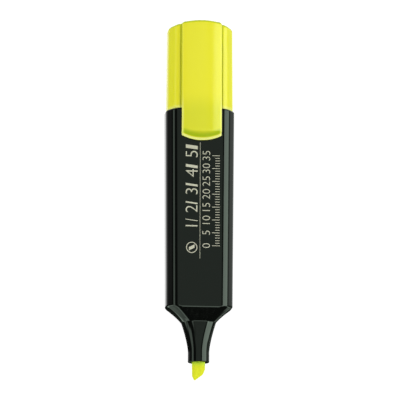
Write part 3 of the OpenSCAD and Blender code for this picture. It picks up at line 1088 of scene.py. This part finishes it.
class HIGHLIGHTER_OT_clip(bpy.types.Operator):
    """Builds the arched pocket clip, from its root in the cap to its free end"""

    bl_idname = "highlighter.clip"
    bl_label = "Pocket clip"

    def execute(self, context):
        sizes = settings().clip
        rings, start, end = clip_rings(sizes, settings().cap)
        piece = add_tube("clip_moulding", rings, start, end)
        points = coordinates(piece.data)
        x, y, _ = points.T
        reach = y - CLIP_LOW.y - arch(x, sizes.end)
        inwards = CLIP_HIGH.x - np.abs(x)
        lip_start, lip_end = 0.75 * sizes.lip, 1.05 * sizes.lip
        side_glow, side_glow_over_barrel = 0.1, 0.6
        slope_full, fade_start, fade_end = 1.4 * sizes.lip, 0.25 * sizes.slope, 4.1 * MM
        painted_slope_shade_share, painted_shade_over_barrel_share, painted_flank_shade_share = 0.85, 0.22, 0.4
        barrel_end, cap_start = RIM_Y - 3 * MM, RIM_Y + 6 * MM
        side_start, side_end = 0.2 * MM, 0.75 * MM
        flank_start, flank_end = 0.02 * MM, 0.16 * MM

        over_barrel = 1 - smooth_step(y, barrel_end, cap_start)
        # Painted highlight: the attribute edge lightens the lip and the long sides, the sides most
        # over the barrel
        lip = 1 - smooth_step(reach, lip_start, lip_end)
        side = 1 - smooth_step(inwards, side_start, side_end)
        edge = np.maximum(lip, side * (side_glow + side_glow_over_barrel * over_barrel))
        set_attribute(piece, "edge", edge)
        # Painted shade: darker on the slope above the lip, over the barrel, along the flanks and
        # round the crown's edge, stored as the attribute deep
        slope = smooth_step(reach, sizes.lip, slope_full)
        slope = slope * (1 - smooth_step(reach, sizes.lip + fade_start, fade_end))
        painted_flank_shade = (1 - smooth_step(inwards, flank_start, flank_end)) * (1 - over_barrel)
        crown = crown_shade(points, settings().cap.crown_radius)
        shares = [painted_slope_shade_share * slope, painted_shade_over_barrel_share * over_barrel, crown,
                  painted_flank_shade_share * painted_flank_shade] * (1 - edge)
        set_deep(piece, shares, rings.shape[1], CLIP_END_RINGS)
        put_on(piece, yellow_plastic("fluorescent clip plastic", settings().finish.yellow))
        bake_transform(piece)
        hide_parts("pocket_clip")
        return {"FINISHED"}


class HIGHLIGHTER_OT_print(bpy.types.Operator):
    """Stamps the foil print on the barrel's front face"""

    bl_idname = "highlighter.print"
    bl_label = "Foil print"

    def execute(self, context):
        s = settings().print
        parts = [foil_box(RULE_X - s.rule / 2, RULE_X + s.rule / 2, RULE_START, RULE_END),
                 foil_ring(SIGN_X, SIGN_Y, SIGN_OUTER, SIGN_INNER), foil_box(**SIGN_BAR)]
        along = SAMPLE_START
        for stroke in range(1, s.strokes + 1):
            parts.append(numeral(str(stroke), along + SAMPLE_NUMBER, SAMPLE_X, s.sample))
            start = along + SAMPLE_BAR
            end = start + BAR_WIDTH * stroke * MM
            parts.append(foil_box(SAMPLE_X - s.sample, SAMPLE_X, start, end, SAMPLE_SLANT))
            along = end + SAMPLE_GAP
        for mark in range(s.ruler + 1):
            y = RULER_START + mark * MM
            numbered = mark % LONG_EVERY == 0
            tick = LONG_TICK if numbered else SHORT_TICK
            parts.append(foil_box(RULER_X - tick, RULER_X, y - s.tick / 2, y + s.tick / 2))
            if numbered:
                parts.append(numeral(str(mark), y, RULER_NUMBERS_X, s.number))
        for points, _ in parts:
            points[:, 2] = FRONT_Z + points[:, 2] * s.foil
        points = np.concatenate([part[0] for part in parts])
        starts = np.cumsum([0] + [len(part[0]) for part in parts])
        faces = [tuple(v + first for v in face)
                 for first, part in zip(starts, parts) for face in part[1]]
        piece = add_mesh("foil_print", points, faces)
        put_on(piece, gold_foil("stamped foil", settings().finish.foil))
        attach(piece, "body")
        return {"FINISHED"}


# ---------------------------------------------------------------- stage

LENS_MM = 400.0
SENSOR_MM = 36.0
VIEW_HEIGHT = 153.85 * MM
TOWARDS_CAMERA = Vector((-0.1029, -0.1736, 0.9794)).normalized()
AIM = Vector((0.34 * MM, 0.82 * MM, 8.2 * MM))
LEAN = math.radians(0.19)

# Each panel glows between two angles round the pen, in degrees from straight up and positive to
# the right, and between two values of the direction's part along the pen, from -1 to 1.
PANELS = (
    {"name": "right panel", "from": 32.0, "to": 86.0, "low": -0.42, "high": 0.36,
     "soft": 3.0, "strength": 3.3},
    {"name": "left strip", "from": -81.0, "to": -62.0, "low": -0.42, "high": 0.36,
     "soft": 5.0, "strength": 1.35},
    {"name": "overhead sheet", "from": -33.0, "to": 18.0, "low": -0.28, "high": 0.5,
     "soft": 6.0, "strength": 0.42},
    {"name": "front strip", "from": -26.0, "to": 45.0, "low": -0.50, "high": -0.33,
     "soft": 8.0, "strength": 2.5},
    {"name": "left corner strip", "from": -150.0, "to": -88.0, "low": -0.50, "high": -0.33,
     "soft": 8.0, "strength": 2.4},
    {"name": "right corner strip", "from": 92.0, "to": 132.0, "low": -0.50, "high": -0.36,
     "soft": 8.0, "strength": 1.3},
    {"name": "low front bounce", "from": -152.0, "to": -70.0, "low": -1.1, "high": -0.50,
     "soft": 10.0, "strength": 0.85},
    {"name": "low front edge", "from": -96.0, "to": -72.0, "low": -1.1, "high": -0.55,
     "soft": 8.0, "strength": 1.1},
    {"name": "low right bounce", "from": 136.0, "to": 150.0, "low": -0.58, "high": -0.30,
     "soft": 8.0, "strength": 0.65},
    {"name": "right bounce", "from": 86.0, "to": 150.0, "low": -0.2, "high": 0.9,
     "soft": 3.0, "strength": 0.22},
)
PANEL_END_SOFT = 0.12

# The table's glow grows between two angles from straight up, the same on both sides
TABLE_GLOW = {"from": 91.0, "to": 166.0, "low": 0.14, "high": 1.2, "soft": 0.03}
ROOM_GLOW = 0.02
REFLECTED_TINT = (0.80, 1.0, 0.83)
SOFT_LIGHT = {"even": 0.86, "above": 0.16, "right": 0.20}


def window(tree, value, low, high, soft):
    """1 between low and high and 0 outside, with soft edges."""
    rise = remap(tree, value, 0.0, 1.0, low - soft / 2, low + soft / 2, "SMOOTHSTEP")
    fall = remap(tree, value, 1.0, 0.0, high - soft / 2, high + soft / 2, "SMOOTHSTEP")
    return calc(tree, "MULTIPLY", rise, fall)


def studio(world):
    """A dim room with soft glowing panels round the pen and a white table's glow from below,
    which the gloss reflects. Dull surfaces get an even light from the same sides, and the
    camera itself sees only a plain pale backdrop."""
    world.use_nodes = True
    tree = world.node_tree
    tree.nodes.clear()
    way = add(tree, "ShaderNodeTexCoord").outputs["Generated"]
    parts = add(tree, "ShaderNodeSeparateXYZ", {0: way})
    x, y, z = parts.outputs
    angle = calc(tree, "MULTIPLY", calc(tree, "ARCTAN2", x, z), 180 / math.pi)
    light = ROOM_GLOW
    for panel in PANELS:
        lit = window(tree, angle, panel["from"], panel["to"], panel["soft"])
        along = window(tree, y, panel["low"], panel["high"], PANEL_END_SOFT)
        glow = calc(tree, "MULTIPLY", calc(tree, "MULTIPLY", lit, along), panel["strength"])
        light = calc(tree, "ADD", light, glow)
    below = remap(tree, calc(tree, "ABSOLUTE", angle), 0.0, 1.0, TABLE_GLOW["from"],
                  TABLE_GLOW["to"], "SMOOTHSTEP")
    along = window(tree, y, TABLE_GLOW["low"], TABLE_GLOW["high"], TABLE_GLOW["soft"])
    below = calc(tree, "MULTIPLY", below, along)
    shares = [calc(tree, "ADD", below, calc(tree, "MULTIPLY", light, share))
              for share in REFLECTED_TINT]
    mirrored = add(tree, "ShaderNodeCombineColor", dict(enumerate(shares))).outputs[0]
    soft = calc(tree, "ADD", SOFT_LIGHT["even"],
                calc(tree, "ADD", calc(tree, "MULTIPLY", z, SOFT_LIGHT["above"]),
                     calc(tree, "MULTIPLY", x, SOFT_LIGHT["right"])))
    path = add(tree, "ShaderNodeLightPath").outputs
    lit = mix(tree, path["Is Glossy Ray"], soft, mirrored)
    shown = mix(tree, path["Is Camera Ray"], lit, (1.0, 1.0, 1.0, 1.0))
    background = add(tree, "ShaderNodeBackground", {"Color": shown, "Strength": 1.0})
    add(tree, "ShaderNodeOutputWorld", {"Surface": background.outputs[0]})


def light_table(name):
    """A white table lit a little from within, so that shadows on it stay faint."""
    material, tree, place = new_finish(name)
    white = (1.0, 1.0, 1.0)
    cloud = noise(tree, place, scale=3.0, detail=2.0)
    shade = mix(tree, cloud, rgba(white, factor=0.20), rgba(white, factor=0.22))
    finish_shader(tree, {
        "Base Color": shade, "Roughness": 0.9, "Specular IOR Level": 0.0,
        "Emission Color": rgba(white), "Emission Strength": 0.93})
    return material


class HIGHLIGHTER_OT_stage(bpy.types.Operator):
    """Sets up the pale floor, the soft light and the camera"""

    bl_idname = "highlighter.stage"
    bl_label = "Stage"

    def execute(self, context):
        scene = context.scene
        reach = 3.0
        corners = np.array([[-reach, -reach, 0], [reach, -reach, 0],
                            [reach, reach, 0], [-reach, reach, 0]])
        floor = add_mesh("floor", corners, [(0, 1, 2, 3)])
        floor.modifiers.clear()
        floor.visible_glossy = False
        put_on(floor, light_table("white table"))

        world = bpy.data.worlds.new("studio")
        scene.world = world
        studio(world)

        lens = bpy.data.cameras.new("camera")
        lens.lens = LENS_MM
        lens.sensor_width = SENSOR_MM
        lens.clip_start = 0.05
        lens.clip_end = 20.0
        camera = bpy.data.objects.new("camera", lens)
        scene.collection.objects.link(camera)
        distance = VIEW_HEIGHT * LENS_MM / SENSOR_MM
        side = Vector((0, 1, 0)).cross(TOWARDS_CAMERA).normalized()
        up = TOWARDS_CAMERA.cross(side)
        turned = Matrix.Rotation(LEAN, 3, TOWARDS_CAMERA)
        axes = Matrix((turned @ side, turned @ up, TOWARDS_CAMERA)).transposed()
        camera.matrix_world = Matrix.Translation(AIM + TOWARDS_CAMERA * distance) \
            @ axes.to_4x4()
        scene.camera = camera
        scene.view_settings.view_transform = "Standard"
        scene.view_settings.look = "None"
        return {"FINISHED"}


# ---------------------------------------------------------------- panel and registration

OPERATORS = (
    HIGHLIGHTER_OT_stage,
    HIGHLIGHTER_OT_barrel,
    HIGHLIGHTER_OT_plug,
    HIGHLIGHTER_OT_nib,
    HIGHLIGHTER_OT_reservoir,
    HIGHLIGHTER_OT_cap,
    HIGHLIGHTER_OT_clip,
    HIGHLIGHTER_OT_print,
)


class HIGHLIGHTER_PT_panel(bpy.types.Panel):
    """Sizes, colours and steps of the highlighter"""

    bl_idname = "HIGHLIGHTER_PT_panel"
    bl_label = "Highlighter"
    bl_space_type = "VIEW_3D"
    bl_region_type = "UI"
    bl_category = "Highlighter"

    def draw(self, context):
        layout = self.layout
        chosen = context.scene.highlighter
        for group_name in ("barrel", "cap", "clip", "nib", "print", "finish"):
            group = getattr(chosen, group_name)
            box = layout.box()
            box.label(text=group_name.capitalize())
            for name in group.__annotations__:
                box.prop(group, name)
        for operator in OPERATORS:
            layout.operator(operator.bl_idname)


CLASSES = (BarrelSizes, CapSizes, ClipSizes, NibSizes, PrintSizes, Finishes,
           HighlighterSettings, *OPERATORS, HIGHLIGHTER_PT_panel)


def register():
    for item in CLASSES:
        bpy.utils.register_class(item)
    bpy.types.Scene.highlighter = PointerProperty(type=HighlighterSettings)


def unregister():
    del bpy.types.Scene.highlighter
    for item in reversed(CLASSES):
        bpy.utils.unregister_class(item)


def main():
    register()
    for operator in OPERATORS:
        group, name = operator.bl_idname.split(".")
        getattr(getattr(bpy.ops, group), name)()


if __name__ == "__main__":
    main()
